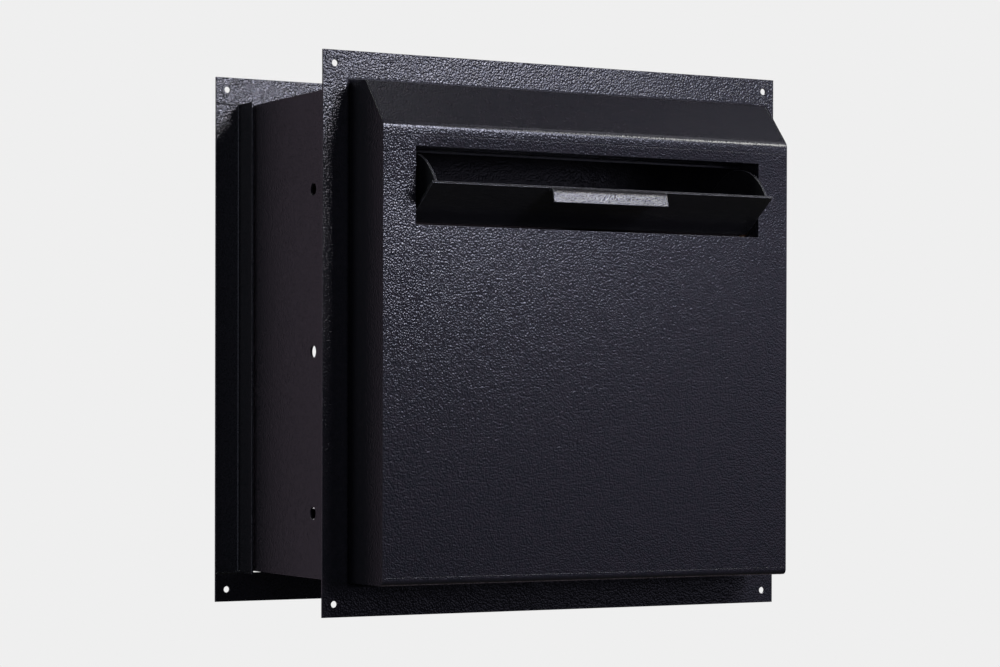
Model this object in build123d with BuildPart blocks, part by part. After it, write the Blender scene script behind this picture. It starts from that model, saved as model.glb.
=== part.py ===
from build123d import *
from math import cos, radians, sin
import os

# Through-wall key drop box: a hooded steel front with a pull-down hopper, a folded tube that
# passes through the wall, a rear door with a cam lock, and a loose trim frame that slides on
# the tube from inside the building.
#
# Frame: X right, Y into the wall, Z up, millimetres. The origin is the centre of the front wall
# flange's back face, the plane that lies against the outside of the wall.

os.makedirs("parts", exist_ok=True)

# Sheet
SHEET = 1.6  # 16 gauge
BEND = 2.4  # outer bend radius of the small folds
BODY_BEND, FLOOR_BEND = 7.0, 4.0  # outer bend radii of the front, and of its foot

# Box
HALF_WIDTH = 172.0
TOP, BOTTOM = 181.3, -179.7
FRONT, REAR = -53.6, 238.4
HOOD_BREAK_Y = -24.6  # the flat roof ends here and the hood slopes down
HOOD_FOOT_Z = 148.6  # where the slope meets the front face
ROOF_SEAM_Z, FLOOR_SEAM_Z = 141.0, -174.0
INNER_WIDTH = HALF_WIDTH - SHEET
ANCHOR_Y, ANCHOR_ZS, ANCHOR_D = 62.8, (109.0, -11.5, -131.5), 9.5

# Wall flange and trim frame
FLANGE_WIDTH, FLANGE_HEIGHT = 389.0, 409.0
COLLAR_BEND, COLLAR_DEPTH = 4.0, 18.0
SCREW_INSET, SCREW_D = 9.5, 5.0
TRIM_REAR = 195.5
TRIM_TOP_Z, TRIM_BOTTOM_Z = 183.8, -182.2  # inner edges of the two strips
WING_X, WING_FRONT = 173.4, 168.9

# Slot and the chute behind it
SLOT_HALF, SLOT_BOTTOM, SLOT_TOP = 146.0, 77.0, 133.0
HEADER_REAR, HEADER_LIP_Z = -25.0, 131.0
SILL_REAR = -36.6
CHEEK_REAR, CHEEK_TOP, CHEEK_BOTTOM = 46.4, 141.0, 62.0
BAFFLE_BOTTOM, BAFFLE_DEPTH = 72.0, 12.0

# Hopper, drawn pulled open
PIVOT_Y, PIVOT_Z = -33.8, 84.3
KINK_Y, KINK_Z = -39.6, 79.5  # where the front flap folds into the floor
FLAP_ANGLE, FLAP_LENGTH = 35.5, 44.6
HOPPER_FLOOR_REAR = 43.0
TRAY_HALF = 144.0
END_PLATE_X, END_RADIUS = 139.2, 45.0
TAB_HALF, TAB_START, TAB_TURN, TAB_LEG = 48.2, 41.2, 114.0, 7.0
TAB_BEND = 3.0
ROD_R = 3.0

# Rear door frame, door and hinge
OPENING_HALF, OPENING_TOP, OPENING_BOTTOM = 140.0, 118.0, -134.0
RAIL_DEPTH, STILE_DEPTH, FRAME_EDGE = 20.0, 16.0, 14.0
DOOR_WIDTH, DOOR_HEIGHT, DOOR_DEPTH = 277.0, 249.0, 12.0
DOOR_ANGLE = 90.0  # drawn standing open; 0 is closed
HINGE_X, HINGE_Y, HINGE_Z = 139.25, 241.4, -8.0
KNUCKLE_R, LEAF, PIN_R, LEAF_WIDTH = 3.0, 1.2, 1.7, 23.0
KNUCKLES, HINGE_LENGTH, KNUCKLE_GAP = 7, 230.0, 0.4
RIVETS, RIVET_U, RIVET_PITCH, RIVET_R = 3, 14.0, 95.0, 1.6

# Cam lock, measured along the door from the hinge
LOCK_U = 247.25
CAM_REACH, CAM_PLANE = 43.0, -21.5

DOOR = Plane(
    origin=(HINGE_X, HINGE_Y, HINGE_Z),
    x_dir=(-cos(radians(DOOR_ANGLE)), sin(radians(DOOR_ANGLE)), 0),
    z_dir=(sin(radians(DOOR_ANGLE)), cos(radians(DOOR_ANGLE)), 0),
)
FRAME_LEAF = Plane(origin=(HINGE_X, HINGE_Y, HINGE_Z), x_dir=(1, 0, 0), z_dir=(0, 1, 0))
LOCK = Plane(origin=DOOR.from_local_coords((LOCK_U, 0, 0)), x_dir=DOOR.x_dir, z_dir=DOOR.z_dir)
DOOR_FACE = -KNUCKLE_R  # the door's outer face, measured from the hinge axis
OPENING_MID = (OPENING_TOP + OPENING_BOTTOM) / 2


def folded(path, bends, reach, section=Plane.YZ, thickness=SHEET):
    """Sheet folded along one path and as long as twice `reach` across it.

    The path is one face of the sheet, with the material on its left.
    """
    with BuildPart() as sheet:
        with BuildSketch(section):
            with BuildLine():
                FilletPolyline(*path, radius=bends)
                offset(amount=thickness, side=Side.LEFT)
            make_face()
        extrude(amount=reach, both=True)
    return sheet.part


def hull(inset, rear):
    """The hooded box as a solid, `inset` under its outer surface, as far back as `rear`."""
    with BuildPart() as solid:
        # seen from the side: foot, front face, sloping hood and flat roof
        with BuildSketch(Plane.YZ):
            with BuildLine():
                Polyline(
                    (rear + inset, BOTTOM),
                    (FRONT, BOTTOM),
                    (FRONT, HOOD_FOOT_Z),
                    (HOOD_BREAK_Y, TOP),
                    (rear + inset, TOP),
                    close=True,
                )
            make_face()
            if inset:
                offset(amount=-inset, kind=Kind.INTERSECTION)
            fillet(vertices().group_by(Axis.X)[0].sort_by(Axis.Y)[0], FLOOR_BEND - inset)
            fillet(vertices().group_by(Axis.X)[0].sort_by(Axis.Y)[-1], BODY_BEND - inset)
            fillet(vertices().group_by(Axis.Y)[-1].sort_by(Axis.X)[0], 2.2 - inset)
        extrude(amount=HALF_WIDTH - inset, both=True)
        # seen from above: the wrap's two front corners
        radius = BODY_BEND - inset
        with BuildSketch(Plane.XY.offset(BOTTOM - 1)):
            for side in (-1, 1):
                with Locations((side * (HALF_WIDTH - inset), FRONT + inset)):
                    Rectangle(2 * radius, 2 * radius)
            for side in (-1, 1):
                with Locations((side * (HALF_WIDTH - inset - radius), FRONT + inset + radius)):
                    Circle(radius, mode=Mode.SUBTRACT)
        extrude(amount=TOP - BOTTOM + 2, mode=Mode.SUBTRACT)
    return solid.part


def pan(plane, width, height, depth, bend=3.0):
    """Sheet with all four edges turned up, its outer face on the plane, open towards +z."""
    with BuildPart() as tray:
        with BuildSketch(plane):
            Rectangle(width, height)
        extrude(amount=depth)
        along = Axis(plane.origin, plane.z_dir)
        fillet(tray.faces().sort_by(along)[0].edges(), bend)
        offset(amount=-SHEET, openings=tray.faces().sort_by(along)[-1])
        # the corners are notched, so that the four edges fold without tearing
        with BuildSketch(plane):
            with GridLocations(width, height, 2, 2):
                Rectangle(2 * bend, 2 * bend)
        extrude(amount=depth, mode=Mode.SUBTRACT)
    return tray.part


OUTSIDE = hull(0, REAR)
INSIDE = hull(SHEET, REAR + 5)

# ---------------------------------------------------------------- box skin: wrap, hood and floor

with BuildPart() as front_wrap:
    add(OUTSIDE)
    add(INSIDE, mode=Mode.SUBTRACT)
    # the hood and the floor are separate sheets welded in between the two sides
    with Locations((0, 0, ROOF_SEAM_Z)):
        Box(2 * INNER_WIDTH, 700, 100, align=(Align.CENTER, Align.CENTER, Align.MIN),
            mode=Mode.SUBTRACT)
    with Locations((0, 0, FLOOR_SEAM_Z)):
        Box(2 * INNER_WIDTH, 700, 50, align=(Align.CENTER, Align.CENTER, Align.MAX),
            mode=Mode.SUBTRACT)
    # slot across the front face
    with BuildSketch(Plane.XZ.offset(-FRONT + 1)):
        with Locations((0, (SLOT_TOP + SLOT_BOTTOM) / 2)):
            Rectangle(2 * SLOT_HALF, SLOT_TOP - SLOT_BOTTOM)
    extrude(amount=-(SHEET + 2), mode=Mode.SUBTRACT)
    # anchor holes through both sides, into the wall's masonry
    with BuildSketch(Plane.YZ):
        with Locations(*[(ANCHOR_Y, z) for z in ANCHOR_ZS]):
            Circle(ANCHOR_D / 2)
    extrude(amount=HALF_WIDTH + 10, both=True, mode=Mode.SUBTRACT)
front_wrap.part.label = "front_wrap"
export_step(front_wrap.part, "parts/front_wrap.step")

with BuildPart() as roof_hood:
    add(OUTSIDE)
    add(INSIDE, mode=Mode.SUBTRACT)
    with Locations((0, 0, ROOF_SEAM_Z)):
        Box(2 * INNER_WIDTH, 700, 100, align=(Align.CENTER, Align.CENTER, Align.MIN),
            mode=Mode.INTERSECT)
roof_hood.part.label = "roof_hood"
export_step(roof_hood.part, "parts/roof_hood.step")

with BuildPart() as floor_pan:
    add(OUTSIDE)
    add(INSIDE, mode=Mode.SUBTRACT)
    with Locations((0, 0, FLOOR_SEAM_Z)):
        Box(2 * INNER_WIDTH, 700, 50, align=(Align.CENTER, Align.CENTER, Align.MAX),
            mode=Mode.INTERSECT)
floor_pan.part.label = "floor_pan"
export_step(floor_pan.part, "parts/floor_pan.step")

# ---------------------------------------------------------------- wall flange

# folded from angle: a flat leg on the wall, and a collar leg welded round the box inside the wall
with BuildPart() as front_flange:
    with BuildSketch(Plane.XZ):
        Rectangle(FLANGE_WIDTH, FLANGE_HEIGHT)
        with Locations((0, (TOP + BOTTOM) / 2)):
            Rectangle(2 * HALF_WIDTH, TOP - BOTTOM, mode=Mode.SUBTRACT)
        with GridLocations(FLANGE_WIDTH - 2 * SCREW_INSET, FLANGE_HEIGHT - 2 * SCREW_INSET, 2, 2):
            Circle(SCREW_D / 2, mode=Mode.SUBTRACT)
    extrude(amount=SHEET)
    with BuildSketch(Plane.XZ):
        with Locations((0, (TOP + BOTTOM) / 2)):
            Rectangle(2 * (HALF_WIDTH + SHEET), TOP - BOTTOM + 2 * SHEET)
            Rectangle(2 * HALF_WIDTH, TOP - BOTTOM, mode=Mode.SUBTRACT)
    extrude(amount=-COLLAR_DEPTH)
    flat_leg = front_flange.faces().filter_by(Plane.XZ).sort_by(Axis.Y)[0]
    box_outline = flat_leg.inner_wires().sort_by(SortBy.LENGTH)[-1]
    fillet(box_outline.edges(), COLLAR_BEND)
    inner_fold = front_flange.edges().filter_by_position(Axis.Y, -0.01, 0.01).filter_by(
        lambda edge: abs(edge.center().X) < HALF_WIDTH + SHEET + 0.1
        and BOTTOM - SHEET - 0.1 < edge.center().Z < TOP + SHEET + 0.1
    )
    fillet(inner_fold, COLLAR_BEND - SHEET)
front_flange.part.label = "front_flange"
export_step(front_flange.part, "parts/front_flange.step")

# ---------------------------------------------------------------- chute behind the slot

# header: up behind the front face, back over the hopper, and a turned-down lip
with BuildPart() as slot_header:
    add(folded(
        [(FRONT + SHEET, ROOF_SEAM_Z - 1), (FRONT + SHEET, SLOT_TOP),
         (HEADER_REAR - SHEET, SLOT_TOP), (HEADER_REAR - SHEET, HEADER_LIP_Z)],
        (BEND, BEND - SHEET), SLOT_HALF,
    ))
slot_header.part.label = "slot_header"
export_step(slot_header.part, "parts/slot_header.step")

# sill: down behind the front face, and back as far as the hopper lets it
with BuildPart() as slot_sill:
    add(folded(
        [(SILL_REAR, SLOT_BOTTOM), (FRONT + SHEET, SLOT_BOTTOM), (FRONT + SHEET, SLOT_BOTTOM - 12)],
        BEND, SLOT_HALF,
    ))
slot_sill.part.label = "slot_sill"
export_step(slot_sill.part, "parts/slot_sill.step")

# rubber edging pushed on the sill: the closed hopper comes to rest on it
with BuildPart() as sill_edge_trim:
    with BuildSketch(Plane.YZ):
        with Locations((SILL_REAR - 1.1, SLOT_BOTTOM - SHEET / 2)):
            RectangleRounded(5.0, 3.6, 1.0)
        with Locations((SILL_REAR, SLOT_BOTTOM - SHEET / 2)):
            Rectangle(10, SHEET, align=(Align.MAX, Align.CENTER), mode=Mode.SUBTRACT)
    extrude(amount=TRAY_HALF, both=True)
sill_edge_trim.part.label = "sill_edge_trim"
export_step(sill_edge_trim.part, "parts/sill_edge_trim.step")


def cheek():
    """Right side plate of the chute, with a front flange and a bush hole on the hopper's axis."""
    with BuildPart() as plate:
        middle = Plane.XY.offset((CHEEK_TOP + CHEEK_BOTTOM) / 2)
        add(folded(
            [(SLOT_HALF, CHEEK_REAR), (SLOT_HALF, FRONT + SHEET), (SLOT_HALF + 12, FRONT + SHEET)],
            BEND, (CHEEK_TOP - CHEEK_BOTTOM) / 2, section=middle,
        ))
        with BuildSketch(Plane.YZ.offset(SLOT_HALF - 1)):
            with Locations((PIVOT_Y, PIVOT_Z)):
                Circle(4.5)
        extrude(amount=SHEET + 2, mode=Mode.SUBTRACT)
        rear_corners = plate.edges().filter_by(Axis.X).group_by(Axis.Y)[-1]
        fillet(rear_corners.sort_by(Axis.Z)[0], 12)
    return plate.part


with BuildPart() as cheek_right:
    add(cheek())
cheek_right.part.label = "cheek_right"
export_step(cheek_right.part, "parts/cheek_right.step")

with BuildPart() as cheek_left:
    add(mirror(cheek(), about=Plane.YZ, mode=Mode.PRIVATE))
cheek_left.part.label = "cheek_left"
export_step(cheek_left.part, "parts/cheek_left.step")

# baffle: a pan hung across the box from the roof, so that nothing reaches over the hopper
baffle_plane = Plane(
    origin=(0, CHEEK_REAR, (TOP - SHEET + BAFFLE_BOTTOM) / 2), x_dir=(-1, 0, 0), z_dir=(0, 1, 0)
)
with BuildPart() as rear_baffle:
    add(pan(baffle_plane, 2 * INNER_WIDTH, TOP - SHEET - BAFFLE_BOTTOM, BAFFLE_DEPTH))
rear_baffle.part.label = "rear_baffle"
export_step(rear_baffle.part, "parts/rear_baffle.step")

# stop angle: the open hopper's floor comes up under it
STOP_Z = KINK_Z + SHEET + 0.3
with BuildPart() as hopper_stop:
    add(folded(
        [(CHEEK_REAR - 8, STOP_Z), (CHEEK_REAR, STOP_Z), (CHEEK_REAR, STOP_Z + 14)],
        BEND, 138.0,
    ))
hopper_stop.part.label = "hopper_stop"
export_step(hopper_stop.part, "parts/hopper_stop.step")

# flanged bushes in the cheeks
PIVOT_PLANE = Plane.YZ.shift_origin(Vector(0, PIVOT_Y, PIVOT_Z))
with BuildPart() as hopper_bushes:
    with BuildSketch(PIVOT_PLANE.offset(SLOT_HALF - 1.5)):
        Circle(6.5)
    extrude(amount=1.5)
    with BuildSketch(PIVOT_PLANE.offset(SLOT_HALF)):
        Circle(4.5)
    extrude(amount=3.0)
    with BuildSketch(PIVOT_PLANE):
        Circle(ROD_R + 0.05)
    extrude(amount=SLOT_HALF + 10, mode=Mode.SUBTRACT)
    mirror(about=Plane.YZ)
hopper_bushes.part.label = "hopper_bushes"
export_step(hopper_bushes.part, "parts/hopper_bushes.step")

# ---------------------------------------------------------------- hopper

# Unit vectors of the front flap in the YZ plane: up along it, and out of its outer face
ALONG = Vector(-cos(radians(FLAP_ANGLE)), sin(radians(FLAP_ANGLE)))
OUTWARD = Vector(-sin(radians(FLAP_ANGLE)), -cos(radians(FLAP_ANGLE)))
KINK = Vector(KINK_Y, KINK_Z)


def on_flap(up, out=0.0):
    """A point of the flap's section, from the kink: distance up the flap and out of its face."""
    return KINK + ALONG * up + OUTWARD * out


with BuildPart() as hopper_tray:
    # one sheet: turned-down rear edge, floor, kink, flap
    add(folded(
        [(HOPPER_FLOOR_REAR, KINK_Z - 6), (HOPPER_FLOOR_REAR, KINK_Z + SHEET),
         KINK + Vector(0.54, SHEET), on_flap(FLAP_LENGTH, -SHEET)],
        (BEND, 1.4), TRAY_HALF,
    ))
    # the finger pull takes the middle of the lip, between two relief slots
    pull_plane = Plane(
        origin=(0, KINK_Y, KINK_Z),
        x_dir=(1, 0, 0),
        z_dir=(0, OUTWARD.X, OUTWARD.Y),
    )
    with BuildSketch(pull_plane):
        with Locations((0, -(TAB_START - 1.5))):
            Rectangle(2 * (TAB_HALF + 1.3), 20, align=(Align.CENTER, Align.MAX))
        with Locations(*[(x, -(TAB_START - 1.5)) for x in (-TAB_HALF - 0.65, TAB_HALF + 0.65)]):
            Circle(0.65)
    extrude(amount=4, both=True, mode=Mode.SUBTRACT)
    # the pull itself: rolled out over the lip and down in front of it
    bend_centre = on_flap(TAB_START, TAB_BEND)
    start_angle = 90 - FLAP_ANGLE
    end_angle = start_angle + TAB_TURN
    with BuildSketch(Plane.YZ):
        with BuildLine():
            inner_roll = CenterArc(bend_centre, TAB_BEND, start_angle, TAB_TURN)
            inner_leg = Line(inner_roll @ 1, (inner_roll @ 1) + (inner_roll % 1) * TAB_LEG)
            outer_roll = CenterArc(bend_centre, TAB_BEND + SHEET, start_angle, TAB_TURN)
            outer_leg = Line(outer_roll @ 1, (outer_roll @ 1) + (outer_roll % 1) * TAB_LEG)
            Line(inner_leg @ 1, outer_leg @ 1)
            Polyline(inner_roll @ 0, on_flap(TAB_START - 1.5), on_flap(TAB_START - 1.5, -SHEET),
                     outer_roll @ 0)
        make_face()
    extrude(amount=TAB_HALF, both=True)
    # room at each side for the spacers on the rod
    with BuildSketch(PIVOT_PLANE.offset(END_PLATE_X + SHEET)):
        Circle(7.5)
    extrude(amount=10, mode=Mode.SUBTRACT)
    with BuildSketch(PIVOT_PLANE.offset(-END_PLATE_X - SHEET)):
        Circle(7.5)
    extrude(amount=-10, mode=Mode.SUBTRACT)
hopper_tray.part.label = "hopper_tray"
export_step(hopper_tray.part, "parts/hopper_tray.step")


def end_plate():
    """Right quadrant plate: keeps the hopper's ends shut at every angle, low along the floor."""
    with BuildPart() as plate:
        with BuildSketch(Plane.YZ.offset(END_PLATE_X)):
            with BuildLine():
                rim = CenterArc((PIVOT_Y, PIVOT_Z), END_RADIUS, 40, 111.9)
                Polyline(rim @ 0, (HOPPER_FLOOR_REAR - 3, KINK_Z + 13.5),
                         (HOPPER_FLOOR_REAR - 3, KINK_Z), KINK, rim @ 1)
            make_face()
            fillet(vertices().group_by(Axis.X)[-1].sort_by(Axis.Y)[-1], 5)
        extrude(amount=SHEET)
        add(hopper_tray.part, mode=Mode.SUBTRACT)
        with BuildSketch(PIVOT_PLANE.offset(END_PLATE_X)):
            Circle(ROD_R)
        extrude(amount=SHEET, mode=Mode.SUBTRACT)
    return plate.part.solids().sort_by(SortBy.VOLUME)[-1]


with BuildPart() as hopper_end_right:
    add(end_plate())
hopper_end_right.part.label = "hopper_end_right"
export_step(hopper_end_right.part, "parts/hopper_end_right.step")

with BuildPart() as hopper_end_left:
    add(mirror(end_plate(), about=Plane.YZ, mode=Mode.PRIVATE))
hopper_end_left.part.label = "hopper_end_left"
export_step(hopper_end_left.part, "parts/hopper_end_left.step")

# rod in the crook of the tray, grooved near both ends for the clips
ROD_END, GROOVE_X = 153.0, 150.3
with BuildPart() as hopper_rod:
    with BuildSketch(PIVOT_PLANE):
        Circle(ROD_R)
    extrude(amount=ROD_END, both=True)
    with BuildSketch(PIVOT_PLANE.offset(GROOVE_X)):
        Circle(ROD_R + 1)
        Circle(ROD_R - 0.6, mode=Mode.SUBTRACT)
    extrude(amount=0.9, mode=Mode.SUBTRACT)
    with BuildSketch(PIVOT_PLANE.offset(-GROOVE_X)):
        Circle(ROD_R + 1)
        Circle(ROD_R - 0.6, mode=Mode.SUBTRACT)
    extrude(amount=-0.9, mode=Mode.SUBTRACT)
hopper_rod.part.label = "hopper_rod"
export_step(hopper_rod.part, "parts/hopper_rod.step")

with BuildPart() as hopper_spacers:
    with BuildSketch(PIVOT_PLANE.offset(END_PLATE_X + SHEET)):
        Circle(4.5)
        Circle(ROD_R, mode=Mode.SUBTRACT)
    extrude(amount=SLOT_HALF - 1.5 - END_PLATE_X - SHEET - 0.2)
    mirror(about=Plane.YZ)
hopper_spacers.part.label = "hopper_spacers"
export_step(hopper_spacers.part, "parts/hopper_spacers.step")

# spring washers: flat rings curved about a vertical axis, outside the bushes
WASHER_X = SLOT_HALF + 3.1
with BuildPart() as hopper_spring_washers:
    with BuildSketch(Plane.XY.offset(PIVOT_Z)):
        with BuildLine():
            outer = ThreePointArc((WASHER_X, PIVOT_Y - 5), (WASHER_X + 0.55, PIVOT_Y),
                                  (WASHER_X, PIVOT_Y + 5))
            inner = ThreePointArc((WASHER_X + 0.5, PIVOT_Y - 5), (WASHER_X + 1.05, PIVOT_Y),
                                  (WASHER_X + 0.5, PIVOT_Y + 5))
            Line(outer @ 0, inner @ 0)
            Line(outer @ 1, inner @ 1)
        make_face()
    extrude(amount=6, both=True)
    with BuildSketch(PIVOT_PLANE.offset(SLOT_HALF)):
        Circle(4.6)
        Circle(ROD_R + 0.1, mode=Mode.SUBTRACT)
    extrude(amount=10, mode=Mode.INTERSECT)
    mirror(about=Plane.YZ)
hopper_spring_washers.part.label = "hopper_spring_washers"
export_step(hopper_spring_washers.part, "parts/hopper_spring_washers.step")

with BuildPart() as hopper_clips:
    with BuildSketch(PIVOT_PLANE.offset(GROOVE_X + 0.05)):
        Circle(5.2)
        Circle(ROD_R - 0.6, mode=Mode.SUBTRACT)
        Rectangle(3.6, 6, align=(Align.CENTER, Align.MAX), mode=Mode.SUBTRACT)
    extrude(amount=0.8)
    mirror(about=Plane.YZ)
hopper_clips.part.label = "hopper_clips"
export_step(hopper_clips.part, "parts/hopper_clips.step")

# ---------------------------------------------------------------- rear door frame

frame_height = TOP - BOTTOM - 2 * SHEET
frame_plane = Plane(origin=(0, REAR, (TOP + BOTTOM) / 2), x_dir=(1, 0, 0), z_dir=(0, -1, 0))
opening_height = OPENING_TOP - OPENING_BOTTOM
with BuildPart() as rear_frame:
    add(pan(frame_plane, 2 * INNER_WIDTH, frame_height, FRAME_EDGE))
    # the door opening's edges are turned inwards: deep rails, shallower stiles
    with BuildSketch(Plane.XZ.offset(-REAR)):
        with Locations((0, OPENING_MID)):
            Rectangle(2 * (OPENING_HALF + SHEET), opening_height + 2 * SHEET)
    extrude(amount=RAIL_DEPTH)
    with BuildSketch(Plane.XZ.offset(-REAR)):
        with Locations((0, OPENING_MID)):
            Rectangle(2 * OPENING_HALF, opening_height)
    extrude(amount=RAIL_DEPTH, mode=Mode.SUBTRACT)
    mouth = rear_frame.faces().filter_by(Plane.XZ).sort_by(Axis.Y)[-1]
    fillet(mouth.inner_wires()[0].edges(), BEND)
    inner_fold = rear_frame.edges().filter_by_position(
        Axis.Y, REAR - SHEET - 0.01, REAR - SHEET + 0.01
    ).filter_by(
        lambda edge: abs(edge.center().X) < OPENING_HALF + 3
        and abs(edge.center().Z - OPENING_MID) < opening_height / 2 + 3
    )
    fillet(inner_fold, BEND - SHEET)
    with BuildSketch(Plane.YZ):
        with Locations((REAR - STILE_DEPTH, OPENING_MID)):
            Rectangle(30, opening_height - 24, align=(Align.MAX, Align.CENTER))
    extrude(amount=OPENING_HALF + 3, both=True, mode=Mode.SUBTRACT)
    # corner reliefs
    with BuildSketch(Plane.XZ.offset(-REAR - 1)):
        with Locations((0, OPENING_MID)):
            with GridLocations(2 * OPENING_HALF, opening_height, 2, 2):
                Rectangle(6.0, 6.0)
    extrude(amount=RAIL_DEPTH + 2, mode=Mode.SUBTRACT)
    # rivet holes of the hinge
    with BuildSketch(FRAME_LEAF.offset(-8)):
        with Locations((RIVET_U, 0)):
            with GridLocations(1, RIVET_PITCH, 1, RIVETS):
                Circle(RIVET_R)
    extrude(amount=8, mode=Mode.SUBTRACT)
rear_frame.part.label = "rear_frame"
export_step(rear_frame.part, "parts/rear_frame.step")


def door_stop():
    """Angle welded under the top rail: the closed door's folded edge meets its front leg."""
    face = REAR - DOOR_DEPTH - 0.3
    return folded(
        [(face, OPENING_TOP - 10), (face, OPENING_TOP), (face - 10, OPENING_TOP)], BEND, 60.0
    )


with BuildPart() as door_stop_top:
    add(door_stop())
door_stop_top.part.label = "door_stop_top"
export_step(door_stop_top.part, "parts/door_stop_top.step")

with BuildPart() as door_stop_bottom:
    add(mirror(door_stop(), about=Plane.XY.offset(OPENING_MID), mode=Mode.PRIVATE))
door_stop_bottom.part.label = "door_stop_bottom"
export_step(door_stop_bottom.part, "parts/door_stop_bottom.step")

# ---------------------------------------------------------------- hinge

PITCH = HINGE_LENGTH / KNUCKLES


def hinge_leaf(plane, own):
    """One leaf of the piano hinge: its strip is curled round the pin, then cut into knuckles.

    `own` is the parity of the knuckles that belong to this leaf, counted from one end.
    """
    section = Plane(origin=plane.origin, x_dir=plane.x_dir, z_dir=plane.y_dir)
    inner = KNUCKLE_R - LEAF
    with BuildPart() as leaf:
        with BuildSketch(section):
            with BuildLine():
                Line((LEAF_WIDTH, KNUCKLE_R), (0, KNUCKLE_R))
                outside_curl = CenterArc((0, 0), KNUCKLE_R, 90, 290)
                inside_curl = CenterArc((0, 0), inner, 90, 290)
                Line(outside_curl @ 1, inside_curl @ 1)
                Polyline((0, inner), (LEAF_WIDTH, inner), (LEAF_WIDTH, KNUCKLE_R))
            make_face()
        extrude(amount=HINGE_LENGTH / 2, both=True)
        # the other leaf's knuckles
        others = [i for i in range(KNUCKLES) if i % 2 != own]
        with BuildSketch(plane.offset(-KNUCKLE_R - 1)):
            with Locations(*[(0.4, (i - (KNUCKLES - 1) / 2) * PITCH) for i in others]):
                Rectangle(2 * KNUCKLE_R + 2, PITCH + KNUCKLE_GAP)
        extrude(amount=2 * KNUCKLE_R + 2, mode=Mode.SUBTRACT)
        with BuildSketch(plane.offset(-KNUCKLE_R - 1)):
            with Locations((RIVET_U, 0)):
                with GridLocations(1, RIVET_PITCH, 1, RIVETS):
                    Circle(RIVET_R)
        extrude(amount=LEAF + 2, mode=Mode.SUBTRACT)
        far_corners = leaf.edges().filter_by(Axis(plane.origin, plane.z_dir)).group_by(
            Axis(plane.origin, plane.x_dir)
        )[-1]
        fillet(far_corners, 3)
    return leaf.part


def rivets(plane):
    """The leaf's rivets: a flat round head on the leaf and a shank through leaf and sheet."""
    with BuildPart() as row:
        with BuildSketch(plane.offset(-KNUCKLE_R + LEAF)):
            with Locations((RIVET_U, 0)):
                with GridLocations(1, RIVET_PITCH, 1, RIVETS):
                    Circle(3.2)
        extrude(amount=0.9)
        with BuildSketch(plane.offset(-KNUCKLE_R - SHEET - 0.8)):
            with Locations((RIVET_U, 0)):
                with GridLocations(1, RIVET_PITCH, 1, RIVETS):
                    Circle(RIVET_R)
        extrude(amount=SHEET + LEAF + 0.8)
    return row.part


with BuildPart() as hinge_frame_leaf:
    add(hinge_leaf(FRAME_LEAF, own=0))
hinge_frame_leaf.part.label = "hinge_frame_leaf"
export_step(hinge_frame_leaf.part, "parts/hinge_frame_leaf.step")

with BuildPart() as hinge_frame_rivets:
    add(rivets(FRAME_LEAF))
hinge_frame_rivets.part.label = "hinge_frame_rivets"
export_step(hinge_frame_rivets.part, "parts/hinge_frame_rivets.step")

with BuildPart() as hinge_door_leaf:
    add(hinge_leaf(DOOR, own=1))
hinge_door_leaf.part.label = "hinge_door_leaf"
export_step(hinge_door_leaf.part, "parts/hinge_door_leaf.step")

with BuildPart() as hinge_door_rivets:
    add(rivets(DOOR))
hinge_door_rivets.part.label = "hinge_door_rivets"
export_step(hinge_door_rivets.part, "parts/hinge_door_rivets.step")

with BuildPart() as hinge_pin:
    with BuildSketch(Plane.XY.offset(HINGE_Z)):
        with Locations((HINGE_X, HINGE_Y)):
            Circle(PIN_R)
    extrude(amount=HINGE_LENGTH / 2 - 0.5, both=True)
hinge_pin.part.label = "hinge_pin"
export_step(hinge_pin.part, "parts/hinge_pin.step")

# ---------------------------------------------------------------- rear door

# the pan's plane faces into the box, away from the door's outer face
door_middle = DOOR.from_local_coords((0.75 + DOOR_WIDTH / 2, 0, DOOR_FACE))
door_plane = Plane(origin=door_middle, x_dir=DOOR.x_dir, z_dir=-DOOR.z_dir)
BARREL_R, BARREL_FLATS = 9.5, 16.0
with BuildPart() as door_pan:
    add(pan(door_plane, DOOR_WIDTH, DOOR_HEIGHT, DOOR_DEPTH))
    with BuildSketch(DOOR.offset(-8)):
        with Locations((RIVET_U, 0)):
            with GridLocations(1, RIVET_PITCH, 1, RIVETS):
                Circle(RIVET_R)
    extrude(amount=8, mode=Mode.SUBTRACT)
    # the lock's hole has two flats, so that the barrel can't turn
    with BuildSketch(LOCK.offset(-8)):
        Circle(BARREL_R)
        Rectangle(2 * BARREL_R, BARREL_FLATS, mode=Mode.INTERSECT)
    extrude(amount=8, mode=Mode.SUBTRACT)
door_pan.part.label = "door_pan"
export_step(door_pan.part, "parts/door_pan.step")

# ---------------------------------------------------------------- cam lock

BARREL_END = CAM_PLANE + 2.0 + 0.2
with BuildPart() as lock_barrel:
    with BuildSketch(LOCK.offset(DOOR_FACE)):
        Circle(11.0)
    extrude(amount=2.4)
    with BuildSketch(LOCK.offset(DOOR_FACE)):
        Circle(BARREL_R)
        Rectangle(2 * BARREL_R, BARREL_FLATS, mode=Mode.INTERSECT)
    extrude(amount=BARREL_END - DOOR_FACE)
    with BuildSketch(LOCK.offset(DOOR_FACE + 2.4)):
        Circle(6.05)
    extrude(amount=BARREL_END - DOOR_FACE - 2.4, mode=Mode.SUBTRACT)
lock_barrel.part.label = "lock_barrel"
export_step(lock_barrel.part, "parts/lock_barrel.step")

with BuildPart() as lock_nut:
    with BuildSketch(LOCK.offset(DOOR_FACE - SHEET)):
        RegularPolygon(12.0, 6, major_radius=False)
        Circle(BARREL_R, mode=Mode.SUBTRACT)
    extrude(amount=-4.0)
lock_nut.part.label = "lock_nut"
export_step(lock_nut.part, "parts/lock_nut.step")

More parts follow.
